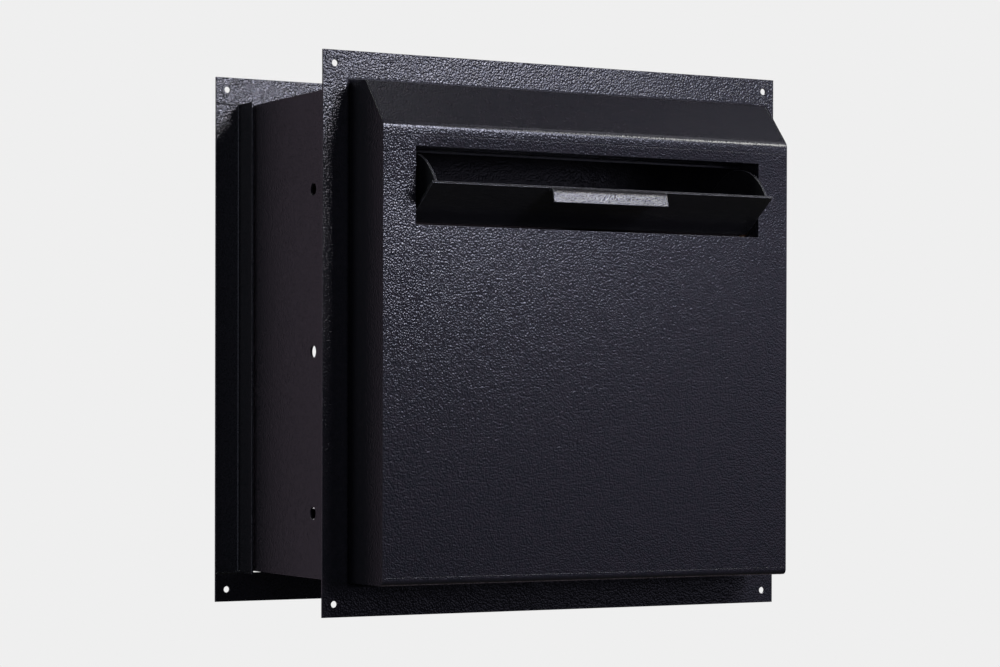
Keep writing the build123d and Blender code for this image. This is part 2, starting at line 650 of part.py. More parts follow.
# core: keyway in its face, square tang through the cam, tapped for the screw
with BuildPart() as lock_core:
    with BuildSketch(LOCK.offset(DOOR_FACE + 2.0)):
        Circle(6.0)
    extrude(amount=BARREL_END - DOOR_FACE - 2.0)
    with BuildSketch(LOCK.offset(DOOR_FACE + 2.0)):
        Rectangle(1.4, 7.0)
    extrude(amount=-9.0, mode=Mode.SUBTRACT)
    with BuildSketch(LOCK.offset(BARREL_END)):
        Rectangle(7.0, 7.0)
    extrude(amount=CAM_PLANE - BARREL_END)
    with BuildSketch(LOCK.offset(CAM_PLANE)):
        Circle(2.0)
    extrude(amount=7.0, mode=Mode.SUBTRACT)
lock_core.part.label = "lock_core"
export_step(lock_core.part, "parts/lock_core.step")

# cam: hangs down when unlocked, and turns outwards behind the frame's stile to lock
with BuildPart() as lock_cam:
    with BuildSketch(LOCK.offset(CAM_PLANE)):
        Circle(9.0)
        with Locations((0, -(CAM_REACH - 6) / 2)):
            Rectangle(12.0, CAM_REACH - 6)
        with Locations((0, -(CAM_REACH - 6))):
            Circle(6.0)
        Rectangle(7.0, 7.0, mode=Mode.SUBTRACT)
    extrude(amount=2.0)
lock_cam.part.label = "lock_cam"
export_step(lock_cam.part, "parts/lock_cam.step")

with BuildPart() as cam_screw:
    with BuildSketch(LOCK.offset(CAM_PLANE)):
        RegularPolygon(4.0, 6, major_radius=False)
    extrude(amount=-2.8)
    with BuildSketch(LOCK.offset(CAM_PLANE)):
        Circle(2.0)
    extrude(amount=6.0)
cam_screw.part.label = "cam_screw"
export_step(cam_screw.part, "parts/cam_screw.step")

# ---------------------------------------------------------------- trim frame

TRIM_PLANE = Plane.XZ.offset(-TRIM_REAR)
hole_x, hole_z = FLANGE_WIDTH / 2 - SCREW_INSET, FLANGE_HEIGHT / 2 - SCREW_INSET


def trim_strip(low, high, hole):
    """Flat strip across the whole frame between two heights, with a screw hole at each end."""
    with BuildPart() as strip:
        with BuildSketch(TRIM_PLANE):
            with Locations((0, (low + high) / 2)):
                Rectangle(FLANGE_WIDTH, high - low)
            with Locations((-hole_x, hole), (hole_x, hole)):
                Circle(SCREW_D / 2, mode=Mode.SUBTRACT)
        extrude(amount=SHEET)
    return strip.part


def trim_side():
    """Right-hand angle: a flange on the wall and a wing that runs along the box's side."""
    with BuildPart() as side:
        add(folded(
            [(FLANGE_WIDTH / 2, TRIM_REAR), (WING_X, TRIM_REAR), (WING_X, WING_FRONT)],
            3.0, (TRIM_TOP_Z - TRIM_BOTTOM_Z) / 2,
            section=Plane.XY.offset((TRIM_TOP_Z + TRIM_BOTTOM_Z) / 2),
        ))
    return side.part


with BuildPart() as trim_top:
    add(trim_strip(TRIM_TOP_Z, FLANGE_HEIGHT / 2, hole_z))
trim_top.part.label = "trim_top"
export_step(trim_top.part, "parts/trim_top.step")

with BuildPart() as trim_bottom:
    add(trim_strip(-FLANGE_HEIGHT / 2, TRIM_BOTTOM_Z, -hole_z))
trim_bottom.part.label = "trim_bottom"
export_step(trim_bottom.part, "parts/trim_bottom.step")

with BuildPart() as trim_right:
    add(trim_side())
trim_right.part.label = "trim_right"
export_step(trim_right.part, "parts/trim_right.step")

with BuildPart() as trim_left:
    add(mirror(trim_side(), about=Plane.YZ, mode=Mode.PRIVATE))
trim_left.part.label = "trim_left"
export_step(trim_left.part, "parts/trim_left.step")
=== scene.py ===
import math

import bpy
import numpy as np
from mathutils import Matrix, Vector


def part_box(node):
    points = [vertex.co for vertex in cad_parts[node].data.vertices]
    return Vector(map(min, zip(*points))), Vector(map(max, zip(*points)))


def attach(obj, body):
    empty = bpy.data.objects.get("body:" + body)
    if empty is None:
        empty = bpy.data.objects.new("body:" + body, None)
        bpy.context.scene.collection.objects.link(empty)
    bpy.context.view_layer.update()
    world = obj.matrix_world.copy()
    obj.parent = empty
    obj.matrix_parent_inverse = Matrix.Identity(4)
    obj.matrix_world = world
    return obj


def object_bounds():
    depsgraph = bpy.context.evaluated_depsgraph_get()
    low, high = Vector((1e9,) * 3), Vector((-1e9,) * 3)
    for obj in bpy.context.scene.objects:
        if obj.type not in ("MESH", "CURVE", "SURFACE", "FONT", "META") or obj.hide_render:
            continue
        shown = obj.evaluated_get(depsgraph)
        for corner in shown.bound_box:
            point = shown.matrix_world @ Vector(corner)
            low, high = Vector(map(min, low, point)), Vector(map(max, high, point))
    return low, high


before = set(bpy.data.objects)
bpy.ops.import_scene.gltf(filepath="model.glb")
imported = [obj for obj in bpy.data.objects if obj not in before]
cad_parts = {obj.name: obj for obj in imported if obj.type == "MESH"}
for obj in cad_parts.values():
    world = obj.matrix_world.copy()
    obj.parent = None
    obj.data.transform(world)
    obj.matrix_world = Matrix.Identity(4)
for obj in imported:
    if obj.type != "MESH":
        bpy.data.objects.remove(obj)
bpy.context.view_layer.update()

# ---------------------------------------------------------------- folded body, hood and floor
# The front and the two sides are one sheet of 1.6 mm steel, bent round the front corners. The hood
# and the floor are separate sheets welded in between. All of it wears a black textured powder
# coat, which crawls into close-set beads as it cures and draws thin along the edges; the paler
# edges also carry a painted edge highlight.

sheet = 1.6


def shader_group(name, inputs, outputs):
    """An empty shader node group with the named sockets; gives the group and its two ends."""
    group = bpy.data.node_groups.new(name, "ShaderNodeTree")
    for label, kind, value in inputs:
        socket = group.interface.new_socket(label, in_out="INPUT", socket_type=kind)
        socket.default_value = value
    for label, kind in outputs:
        group.interface.new_socket(label, in_out="OUTPUT", socket_type=kind)
    return group, group.nodes.new("NodeGroupInput"), group.nodes.new("NodeGroupOutput")


def put(tree, kind, settings=(), values=()):
    """Add a node to a tree, set its properties, and fill its sockets by name or by number."""
    node = tree.nodes.new(kind)
    for key, value in dict(settings).items():
        setattr(node, key, value)
    for key, value in dict(values).items():
        if isinstance(value, bpy.types.NodeSocket):
            tree.links.new(value, node.inputs[key])
        else:
            node.inputs[key].default_value = value
    return node


def times(tree, value, factor):
    """The product of a socket and a socket or number."""
    return put(tree, "ShaderNodeMath", {"operation": "MULTIPLY"}, {0: value, 1: factor}).outputs[0]


def between(tree, value, low, high, at_low=0.0, at_high=1.0, smooth=True):
    """A socket taken from the range low to high into the range at_low to at_high."""
    return put(
        tree, "ShaderNodeMapRange", {"interpolation_type": "SMOOTHSTEP" if smooth else "LINEAR"},
        {"Value": value, "From Min": low, "From Max": high, "To Min": at_low, "To Max": at_high},
    ).outputs[0]


def blend(tree, factor, first, second):
    """A colour between two colours."""
    mix = put(tree, "ShaderNodeMix", {"data_type": "RGBA"}, {"Factor": factor})
    for place, colour in ((6, first), (7, second)):
        if isinstance(colour, bpy.types.NodeSocket):
            tree.links.new(colour, mix.inputs[place])
        else:
            mix.inputs[place].default_value = (*colour, 1)
    return mix.outputs[2]


def parts(tree, vector):
    """The X, Y and Z of a vector."""
    return put(tree, "ShaderNodeSeparateXYZ", {}, {0: vector}).outputs


def unsigned(tree, value, kind="ShaderNodeMath"):
    """A number, or every part of a vector, without its sign."""
    return put(tree, kind, {"operation": "ABSOLUTE"}, {0: value}).outputs[0]


def own_place(tree):
    """The place on the piece, in the piece's own axes."""
    return put(tree, "ShaderNodeTexCoord").outputs["Object"]


def own_normal(tree):
    """The facet's normal in the piece's own axes, so that it stays the same as the piece moves."""
    outward = put(tree, "ShaderNodeNewGeometry").outputs["True Normal"]
    turned_back = {"vector_type": "NORMAL", "convert_from": "WORLD", "convert_to": "OBJECT"}
    return put(tree, "ShaderNodeVectorTransform", turned_back, {"Vector": outward}).outputs[0]


def noise(tree, place, per_metre, detail, roughness=0.5):
    """Cloudy noise with so many waves to the metre."""
    return put(tree, "ShaderNodeTexNoise", {}, {
        "Vector": place, "Scale": per_metre, "Detail": detail, "Roughness": roughness,
    }).outputs["Fac"]


# beads of coat: rounded cells run together, over a slower roll of the film
coat_beads, given, made = shader_group(
    "coat_beads", [("Bead mm", "NodeSocketFloat", 1.4)],
    [("Height", "NodeSocketFloat"), ("Crest", "NodeSocketFloat"), ("Mottle", "NodeSocketFloat")],
)
place = own_place(coat_beads)
per_metre = put(coat_beads, "ShaderNodeMath", {"operation": "DIVIDE"},
                {0: 1000.0, 1: given.outputs[0]}).outputs[0]
cells = put(coat_beads, "ShaderNodeTexVoronoi", {"feature": "SMOOTH_F1"},
            {"Vector": place, "Scale": per_metre, "Smoothness": 0.27, "Randomness": 1.0})
roll = noise(coat_beads, place, times(coat_beads, per_metre, 0.55), 2.0)
height = put(coat_beads, "ShaderNodeMath", {"operation": "MULTIPLY_ADD"},
             {0: cells.outputs["Distance"], 1: -2.0, 2: roll}).outputs[0]
mottle = noise(coat_beads, place, 210.0, 3.0, 0.65)
coat_beads.links.new(height, made.inputs["Height"])
coat_beads.links.new(between(coat_beads, height, -0.65, 0.25), made.inputs["Crest"])
coat_beads.links.new(between(coat_beads, mottle, 0.35, 0.65), made.inputs["Mottle"])

# edges: the rounded normal of a sheet's edge, and a broken mask along it; the coats use the mask
# for a paler edge tone that is partly coat rubbed thin and partly a painted edge highlight
edge_wear_and_highlight, given, made = shader_group(
    "edge_wear_and_highlight", [("Width mm", "NodeSocketFloat", 0.5)],
    [("Normal", "NodeSocketVector"), ("Mask", "NodeSocketFloat")],
)
width = times(edge_wear_and_highlight, given.outputs[0], 0.001)
rounded = put(edge_wear_and_highlight, "ShaderNodeBevel", {"samples": 6}, {"Radius": width}).outputs[0]
flat = put(edge_wear_and_highlight, "ShaderNodeNewGeometry").outputs["True Normal"]
agreement = put(edge_wear_and_highlight, "ShaderNodeVectorMath", {"operation": "DOT_PRODUCT"},
                {0: rounded, 1: flat}).outputs["Value"]
patchy = noise(edge_wear_and_highlight, own_place(edge_wear_and_highlight), 420.0, 4.0, 0.7)
mask = times(edge_wear_and_highlight, between(edge_wear_and_highlight, agreement, 0.995, 0.86),
             between(edge_wear_and_highlight, patchy, 0.34, 0.60, 0.25, 1.0))
edge_wear_and_highlight.links.new(rounded, made.inputs["Normal"])
edge_wear_and_highlight.links.new(mask, made.inputs["Mask"])

# bends: the part of a folded sheet that faces between its flats, where the film is drawn smooth
drawn_bend, _, made = shader_group("drawn_bend", [], [("Mask", "NodeSocketFloat")])
facing = parts(drawn_bend, unsigned(drawn_bend, own_normal(drawn_bend), "ShaderNodeVectorMath"))
level_bend, upright_bend = (
    times(drawn_bend, between(drawn_bend, facing[axis], 0.02, 0.10),
          between(drawn_bend, facing[axis], steep, steepest))
    for axis, steep, steepest in (("Z", 0.72, 0.62), ("X", 0.99, 0.94))
)
either = put(drawn_bend, "ShaderNodeMath", {"operation": "MAXIMUM"},
             {0: level_bend, 1: upright_bend})
drawn_bend.links.new(either.outputs[0], made.inputs["Mask"])

# lean: a front sheet leans a few degrees forward between its upper bend and the cut-out below,
# most of all in the middle
sheet_lean, given, made = shader_group(
    "sheet_lean", [("Lean", "NodeSocketFloat", 0.0)], [("Normal", "NodeSocketVector")])
frontal = times(sheet_lean, parts(sheet_lean, own_normal(sheet_lean))["Y"], -1.0)
spot = parts(sheet_lean, own_place(sheet_lean))
middle = between(sheet_lean, unsigned(sheet_lean, spot["X"]), 0.155, 0.120, 0.55, 1.0)
strip = times(sheet_lean, between(sheet_lean, spot["Z"], 0.076, 0.134),
              between(sheet_lean, spot["Z"], 0.1475, 0.1405))
share = times(sheet_lean, times(sheet_lean, strip, middle),
              between(sheet_lean, frontal, 0.98, 0.995))
drop = times(sheet_lean, times(sheet_lean, share, given.outputs[0]), -1.0)
leaning = put(sheet_lean, "ShaderNodeCombineXYZ", {}, {"Z": drop}).outputs[0]
sheet_lean.links.new(leaning, made.inputs["Normal"])


def powder_coat(name, tone, warm, relief_mm, roughness, on_bends=0.4, edge_mm=0.5, edge_wear_and_highlight_tone=0.085,
                shine=0.5, lean=0.0):
    """Textured coat: beads of the given relief that lie low on bends, two close tones in a mottle,
    and pale edges in the given edge tone, partly rubbed coat and partly a painted edge highlight."""
    material = bpy.data.materials.new(name)
    material.use_nodes = True
    tree = material.node_tree
    beads = put(tree, "ShaderNodeGroup", {"node_tree": coat_beads})
    edge = put(tree, "ShaderNodeGroup", {"node_tree": edge_wear_and_highlight}, {"Width mm": edge_mm})
    bend = put(tree, "ShaderNodeGroup", {"node_tree": drawn_bend}).outputs["Mask"]
    tilt = put(tree, "ShaderNodeGroup", {"node_tree": sheet_lean}, {"Lean": lean})
    normal = put(tree, "ShaderNodeVectorMath", {"operation": "ADD"},
                 {0: edge.outputs["Normal"], 1: tilt.outputs["Normal"]}).outputs[0]
    normal = put(tree, "ShaderNodeVectorMath", {"operation": "NORMALIZE"}, {0: normal}).outputs[0]
    height = times(tree, beads.outputs["Height"],
                   between(tree, bend, 0.0, 1.0, 1.0, on_bends, smooth=False))
    bump = put(tree, "ShaderNodeBump", {},
               {"Distance": relief_mm / 1000, "Height": height, "Normal": normal})
    film = blend(tree, beads.outputs["Mottle"], tone, warm)
    # painted edge highlight: the edge mask lightens the coat towards the edge tone, standing in
    # partly for coat rubbed thin and partly for light caught on the rounded edge
    film = blend(tree, edge.outputs["Mask"], film, (edge_wear_and_highlight_tone, edge_wear_and_highlight_tone, 1.08 * edge_wear_and_highlight_tone))
    gloss = between(tree, beads.outputs["Crest"], 0.0, 1.0, roughness + 0.04, roughness - 0.02)
    surface = tree.nodes["Principled BSDF"]
    surface.inputs["Specular IOR Level"].default_value = shine
    tree.links.new(film, surface.inputs["Base Color"])
    tree.links.new(gloss, surface.inputs["Roughness"])
    tree.links.new(bump.outputs[0], surface.inputs["Normal"])
    return material


def finish(material, *names):
    """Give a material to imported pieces."""
    for name in names:
        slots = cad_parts[name].data.materials
        slots.clear()
        slots.append(material)


blue_black, warm_black = (0.0150, 0.0155, 0.0200), (0.0205, 0.0180, 0.0235)
front_coat = powder_coat("front_coat", blue_black, warm_black, 0.118, 0.15, lean=0.12)
finish(front_coat, "front_wrap", "roof_hood")
# the floor's turned-up edge is dressed flush with the front, so its pale edge line, partly rubbed
# coat and partly painted edge highlight, is kept faint
floor_coat = powder_coat("floor_coat", blue_black, warm_black, 0.118, 0.15, edge_wear_and_highlight_tone=0.02)
finish(floor_coat, "floor_pan")


def skin(name, body, slot, material, *shells, hollow=False):
    """One piece from closed shells in mm. A shell is a stack of rings: each ring is joined to the
    next by quads all the way round. The first and last rings are filled, or, in a hollow shell,
    joined to each other."""
    points, faces = [], []
    for rings in shells:
        count, around = rings.shape[:2]
        row, column = np.arange(count - 1 + hollow)[:, None], np.arange(around)
        start = sum(map(len, points))
        corner = [start + (row + r) % count * around + (column + c) % around
                  for r, c in ((0, 0), (0, 1), (1, 1), (1, 0))]
        faces += np.stack(corner, -1).reshape(-1, 4).tolist()
        if not hollow:
            faces += [corner[0][0, ::-1].tolist(), corner[3][-1].tolist()]
        points.append(rings.reshape(-1, 3) / 1000)
    mesh = bpy.data.meshes.new(name)
    mesh.from_pydata(np.concatenate(points), [], faces)
    mesh.polygons.foreach_set("use_smooth", np.ones(len(faces), bool))
    mesh.materials.append(material)
    piece = bpy.data.objects.new(name, mesh)
    bpy.context.scene.collection.objects.link(piece)
    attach(piece, body)


def weld_bead(start, end, lean, width, height, ripple=1.7, wander=0.0, seed=1):
    """Rings of a bead laid from start to end, standing out along lean. Each ring is an oval; it
    swells once with every ripple of the puddle, bows forward in the middle as the puddle froze,
    strays to the side by up to wander, and shrinks to a point at both ends as a root curve."""
    start, end, lean = (np.asarray(v, float) for v in (start, end, lean))
    length = np.linalg.norm(end - start)
    along, lean = (end - start) / length, lean / np.linalg.norm(lean)
    side = np.cross(lean, along)
    s = np.linspace(0, length, max(12, int(5 * length / ripple)))[:, None]
    knots = np.linspace(0, length, max(4, int(length / 5)))
    stray = np.interp(s, knots, np.random.default_rng(seed).uniform(-1, 1, len(knots)))
    swell = (1 + 0.2 * np.abs(np.sin(np.pi * s / ripple)) + 0.12 * stray) * np.sqrt(
        np.clip(np.minimum(s, length - s) / width, 0.01, 1))
    turn = np.linspace(0, 2 * np.pi, 12, endpoint=False)
    across = wander * stray + width / 2 * np.cos(turn) * swell
    out = height * np.sin(turn) * swell
    forward = np.clip(s + 0.25 * width * np.sin(turn).clip(0) * swell, 0, length)
    return start + forward[..., None] * along + across[..., None] * side + out[..., None] * lean


# The hood's and floor's seams with the sides are welded and ground nearly flush. In side view the
# hood falls from its upper bend to its foot; the bead stops short of both.
low, high = (1000 * np.array(corner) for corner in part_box("front_wrap"))
hood_top = 1000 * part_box("roof_hood")[1][2]
seam_x, rear = high[0] - sheet / 2, high[1]
upper_bend, foot = np.array((-24.6, 181.3)), np.array((-53.6, 148.6))
fall = (foot - upper_bend) / np.linalg.norm(foot - upper_bend)
seams = (
    (upper_bend + 1.2 * fall, foot - 3.2 * fall, (0, fall[1], -fall[0])),
    ((-24.0, hood_top), (rear - 1.0, hood_top), (0, 0, 1)),
    ((low[1] + 5.0, low[2]), (rear - 1.0, low[2]), (0, 0, -1)),
)
skin("ground_seams", "box", "textured_coat", front_coat, *(
    weld_bead((side * seam_x, *begin), (side * seam_x, *end), lean, 1.5, 0.22,
              ripple=2.6, seed=seed)
    for side in (-1, 1) for seed, (begin, end, lean) in enumerate(seams, start=3)
))

# ---------------------------------------------------------------- wall flange
# An angle frame cut from the same sheet: the flat leg lies on the wall, and the collar leg is
# stitch-welded round the box inside the wall. The four corner holes take the wall screws.

flange_coat = powder_coat("flange_coat", (0.0150, 0.0155, 0.0195), (0.0210, 0.0190, 0.0240),
                          0.130, 0.15)
finish(flange_coat, "front_flange")

collar_y = 1000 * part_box("front_flange")[1][1] + 0.3
stitches = np.linspace(-144, 144, 5)
half_stitch, stitch_width, stitch_height, off_wall = 12.0, 3.0, 1.0, 0.7
wall_x = high[0] + off_wall
skin("collar_stitches", "box", "textured_coat", flange_coat, *(
    weld_bead((side * wall_x, collar_y, z - half_stitch),
              (side * wall_x, collar_y, z + half_stitch),
              (side, 1, 0), stitch_width, stitch_height, seed=int(z + 200) + side)
    for side in (-1, 1) for z in stitches
), *(
    weld_bead((x - half_stitch, collar_y, z), (x + half_stitch, collar_y, z),
              (0, 1, side), stitch_width, stitch_height, seed=int(x + 600) + side)
    for side, z in ((-1, low[2] - off_wall), (1, high[2] + off_wall)) for x in stitches
))

# ---------------------------------------------------------------- chute behind the slot
# Folded header, sill, cheeks and baffle pan, welded inside before coating, so the film is the same
# but thinner and smoother in the corners. A push-on rubber edging softens the hopper's closing.

chute_black, chute_warm = (0.0150, 0.0150, 0.0190), (0.0200, 0.0185, 0.0225)
chute_coat = powder_coat("chute_coat", chute_black, chute_warm, 0.11, 0.17)
# the header's edges take a wider rounding and a much paler edge tone: a painted edge highlight
# where little lamp light reaches, on top of rubbed coat
header_coat = powder_coat("header_coat", chute_black, chute_warm, 0.10, 0.18,
                          edge_mm=1.2, edge_wear_and_highlight_tone=0.16, shine=1.0)
finish(header_coat, "slot_header")
finish(chute_coat, "slot_sill", "cheek_left", "cheek_right", "rear_baffle", "hopper_stop")


def plain_finish(name, colour, second, roughness, spread, metallic=0.0, grain_per_m=900.0,
                 stretch=(1, 1, 1), relief_mm=0.01):
    """An uncoated finish: two tones in a fine grain stretched along one axis, roughness that
    wanders by spread, rubbed edges a little paler, and a shallow relief from the same grain."""
    material = bpy.data.materials.new(name)
    material.use_nodes = True
    tree = material.node_tree
    place = own_place(tree)
    pulled = put(tree, "ShaderNodeMapping", {}, {"Vector": place, "Scale": stretch}).outputs[0]
    grain = noise(tree, pulled, grain_per_m, 4.0, 0.65)
    cloud = noise(tree, place, 130.0, 3.0)
    edge = put(tree, "ShaderNodeGroup", {"node_tree": edge_wear_and_highlight}, {"Width mm": 0.3})
    tone = blend(tree, between(tree, grain, 0.3, 0.7), colour, second)
    paler = tuple(min(1.0, 1.35 * c + 0.03) for c in colour)
    tone = blend(tree, times(tree, edge.outputs["Mask"], 0.6), tone, paler)
    bump = put(tree, "ShaderNodeBump", {}, {
        "Distance": relief_mm / 1000, "Height": grain, "Normal": edge.outputs["Normal"]})
    polish = between(tree, cloud, 0.3, 0.7, roughness - spread, roughness + spread)
    surface = tree.nodes["Principled BSDF"]
    surface.inputs["Metallic"].default_value = metallic
    tree.links.new(tone, surface.inputs["Base Color"])
    tree.links.new(polish, surface.inputs["Roughness"])
    tree.links.new(bump.outputs[0], surface.inputs["Normal"])
    return material


edging_rubber = plain_finish(
    "edging_rubber", (0.018, 0.018, 0.018), (0.030, 0.029, 0.028), 0.68, 0.08,
    grain_per_m=1500.0, stretch=(0.2, 1, 1), relief_mm=0.03)
finish(edging_rubber, "sill_edge_trim")
bush_bronze = plain_finish(
    "bush_bronze", (0.42, 0.27, 0.13), (0.25, 0.15, 0.07), 0.42, 0.07,
    metallic=1.0, grain_per_m=2600.0, relief_mm=0.02)
finish(bush_bronze, "hopper_bushes")

# ---------------------------------------------------------------- hopper
# One folded sheet makes the floor, the front flap and the rolled finger pull; quadrant plates are
# tacked in at its ends. It swings on a zinc-plated rod, held by spring washers and push-on clips.

# the hopper's edges, the flap's top edge and the finger pull among them, take a much paler edge
# tone: painted edge highlight on top of rubbed coat
hopper_coat = powder_coat("hopper_coat", (0.0150, 0.0152, 0.0165), (0.0195, 0.0188, 0.0205),
                          0.11, 0.16, on_bends=1.0, edge_wear_and_highlight_tone=0.45, shine=0.68)
finish(hopper_coat, "hopper_tray", "hopper_end_left", "hopper_end_right")
zinc = plain_finish(
    "zinc_plate", (0.58, 0.60, 0.62), (0.48, 0.49, 0.50), 0.34, 0.08,
    metallic=1.0, grain_per_m=700.0, stretch=(0.12, 1, 1), relief_mm=0.006)
finish(zinc, "hopper_rod", "hopper_spacers", "hopper_spring_washers", "hopper_clips")

end_x = 1000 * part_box("hopper_end_right")[0][0] - 0.2
tray_floor, tack = 81.4, 16.0
skin("end_plate_tacks", "hopper", "textured_coat", hopper_coat, *(
    weld_bead((side * end_x, y, tray_floor), (side * end_x, y + tack, tray_floor), (-side, 0, 1),
              2.4, 0.9, ripple=1.4, seed=int(y) + 60 + side)
    for side in (-1, 1) for y in (-24.0, 18.0)
))

# ---------------------------------------------------------------- rear frame and door stops
# A pan with a turned-in door opening closes the rear of the box. It is welded in round the edge,
# and the bead is dressed back. Two short angles behind the rails stop the closing door.

frame_coat = powder_coat("frame_coat", (0.0150, 0.0155, 0.0195), (0.0200, 0.0180, 0.0225),
                         0.115, 0.16)
finish(frame_coat, "rear_frame", "door_stop_top", "door_stop_bottom")

seam_bottom, seam_top = low[2] + sheet / 2, high[2] - sheet / 2
rim = [np.array((x, rear, z)) for x, z in (
    (-seam_x, seam_bottom), (seam_x, seam_bottom), (seam_x, seam_top), (-seam_x, seam_top))]
skin("rear_seam", "box", "textured_coat", frame_coat, *(
    weld_bead(rim[i], rim[(i + 1) % 4], (0, 1, 0), 1.8, 0.35, ripple=2.2, wander=0.12, seed=40 + i)
    for i in range(4)
))

# ---------------------------------------------------------------- hinge
# A plated strip hinge: leaves curled round a steel pin, blind-riveted to the frame and the door.
# Each aluminium rivet has a low dome with the hollow that its broken mandrel leaves.

finish(zinc, "hinge_frame_leaf", "hinge_door_leaf", "hinge_pin")
rivet_aluminium = plain_finish(
    "rivet_aluminium", (0.66, 0.66, 0.67), (0.55, 0.55, 0.56), 0.36, 0.07,
    metallic=1.0, grain_per_m=1800.0, relief_mm=0.008)
finish(rivet_aluminium, "hinge_frame_rivets", "hinge_door_rivets")


def turned(centre, axis, radii, rises, around=36):
    """Rings of a turned shape: a circle of each radius, raised along the axis by each rise."""
    centre, axis = np.asarray(centre, float), np.asarray(axis, float)
    first = np.cross(axis, (0.3, 0.5, 0.8))
    first /= np.linalg.norm(first)
    second = np.cross(axis, first)
    turn = np.linspace(0, 2 * np.pi, around, endpoint=False)[:, None]
    circle = np.cos(turn) * first + np.sin(turn) * second
    radii, rises = (np.asarray(v, float)[:, None, None] for v in (radii, rises))
    return centre + radii * circle + rises * axis


# dome profile: from under the head's rim over the crown and down into the mandrel's hollow
bow = np.radians(np.linspace(0, 62, 8))
dome_r = np.concatenate([[3.0, 3.3], 3.35 * np.cos(bow), [1.25, 1.15, 0.05]])
dome_z = np.concatenate([[-0.05, 0.0], 0.15 + 1.05 * np.sin(bow), [1.05, 0.55, 0.5]])
head_r, head_height = 3.2, 0.9
for leaf, facing, body in (
        ("hinge_frame_rivets", (0, 1, 0), "box"), ("hinge_door_rivets", (1, 0, 0), "door")):
    near, far = (1000 * np.array(corner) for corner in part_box(leaf))
    centre, facing = (near + far) / 2, np.array(facing, float)
    base = centre * (1 - facing) + (far - head_height) * facing
    skin(leaf.replace("rivets", "rivet_domes"), body, "rivet_aluminium", rivet_aluminium, *(
        turned(base + (0, 0, reach), facing, dome_r, dome_z)
        for reach in (near[2] + head_r - centre[2], 0.0, far[2] - head_r - centre[2])
    ))

# ---------------------------------------------------------------- rear door
# A shallow pan of the same sheet, with its four edges folded in and its corners left open. It is
# coated on the flat, so its film is the most even.

door_coat = powder_coat("door_coat", (0.0150, 0.0155, 0.0195), (0.0200, 0.0182, 0.0225),
                        0.115, 0.16)
finish(door_coat, "door_pan")

# ---------------------------------------------------------------- cam lock
# Nickel-chrome die-cast barrel with two flats, brass core with its row of wafers, and a plated
# cam held by a hex screw. The nut runs on a coarse thread cut in the barrel's round sides.

lock_chrome = plain_finish(
    "lock_chrome", (0.70, 0.70, 0.71), (0.64, 0.64, 0.655), 0.14, 0.05,
    metallic=1.0, grain_per_m=1200.0, relief_mm=0.002)
finish(lock_chrome, "lock_barrel")
lock_brass = plain_finish(
    "lock_brass", (0.62, 0.46, 0.20), (0.52, 0.37, 0.15), 0.27, 0.06,
    metallic=1.0, grain_per_m=1500.0, stretch=(0.2, 1, 1), relief_mm=0.004)
finish(lock_brass, "lock_core")
finish(zinc, "lock_nut", "lock_cam", "cam_screw")

inner_end, face_end = (1000 * np.array(corner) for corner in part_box("lock_barrel"))
lock_axis = (inner_end + face_end) / 2
nut_face = 1000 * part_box("lock_nut")[0][0]
barrel_r, barrel_flats, pitch, thread_depth, root_r = 9.5, 16.0, 1.25, 0.42, 7.6
clear = 0.02
x = np.linspace(inner_end[0] + 0.3, nut_face + 0.6, 120)[:, None]
turn = np.linspace(0, 2 * np.pi, 96, endpoint=False)
# thread: the radius rises and falls as a triangle wave along a helix, cut off at the two flats
wave = np.abs(((x / pitch + turn / (2 * np.pi)) % 1) * 2 - 1)
flat_r = (barrel_flats / 2 + clear) / np.maximum(np.abs(np.cos(turn)), 1e-3)
radius = np.minimum(barrel_r + clear + thread_depth * wave, flat_r)
x = np.concatenate([x, x[-1:], x[:1]])
radius = np.concatenate([radius, np.full((2, len(turn)), root_r)])
thread = np.stack([
    x + 0 * turn, lock_axis[1] + radius * np.sin(turn), lock_axis[2] + radius * np.cos(turn)], -1)
skin("barrel_thread", "door", "lock_chrome", lock_chrome, thread[:, ::-1], hollow=True)

bezel_r = np.array([10.6, 11.0, 11.0, 10.7, 9.9, 8.8, 7.9, 7.4, 7.2])
bezel_z = np.array([-1.4, -1.2, -0.45, -0.05, 0.12, 0.12, 0.0, -0.25, -0.6])
face = (face_end[0], lock_axis[1], lock_axis[2])
skin("lock_bezel", "door", "lock_chrome", lock_chrome,
     turned(face, (1, 0, 0), bezel_r, bezel_z, around=72), hollow=True)

# wafers: small plates across the keyway, by turns from below and from above, each to its own
# height, with rounded corners and dressed edges
core_face = 1000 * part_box("lock_core")[1][0]
first_wafer, wafer_pitch, keyway_half, wafer_half_width = 1.6, 1.5, 3.4, 0.6
turn = np.linspace(0, 2 * np.pi, 24, endpoint=False)
squared_off = [np.sign(v) * np.abs(v) ** 0.4 for v in (np.cos(turn), np.sin(turn))]
outline = np.stack([0 * turn, *squared_off], -1)
edge_share, edge_x = (0.9, 1.0, 1.0, 0.9), (-0.45, -0.38, -0.07, 0.0)
skin("lock_wafers", "lock", "lock_brass", lock_brass, *(
    (core_face - first_wafer - wafer_pitch * i, lock_axis[1],
     lock_axis[2] + (keyway_half - tall) * (-1) ** i)
    + outline * np.array([(0, wafer_half_width * c, tall * c) for c in edge_share])[:, None]
    + np.array([(x, 0, 0) for x in edge_x])[:, None]
    for i, tall in enumerate((1.3, 1.7, 1.1, 1.5, 1.2))
))

# ---------------------------------------------------------------- trim frame
# Two flat strips and two folded side angles, butt-welded at the corners before coating. The wings
# slide along the box's sides, so the frame meets the inner wall whatever the wall's thickness.

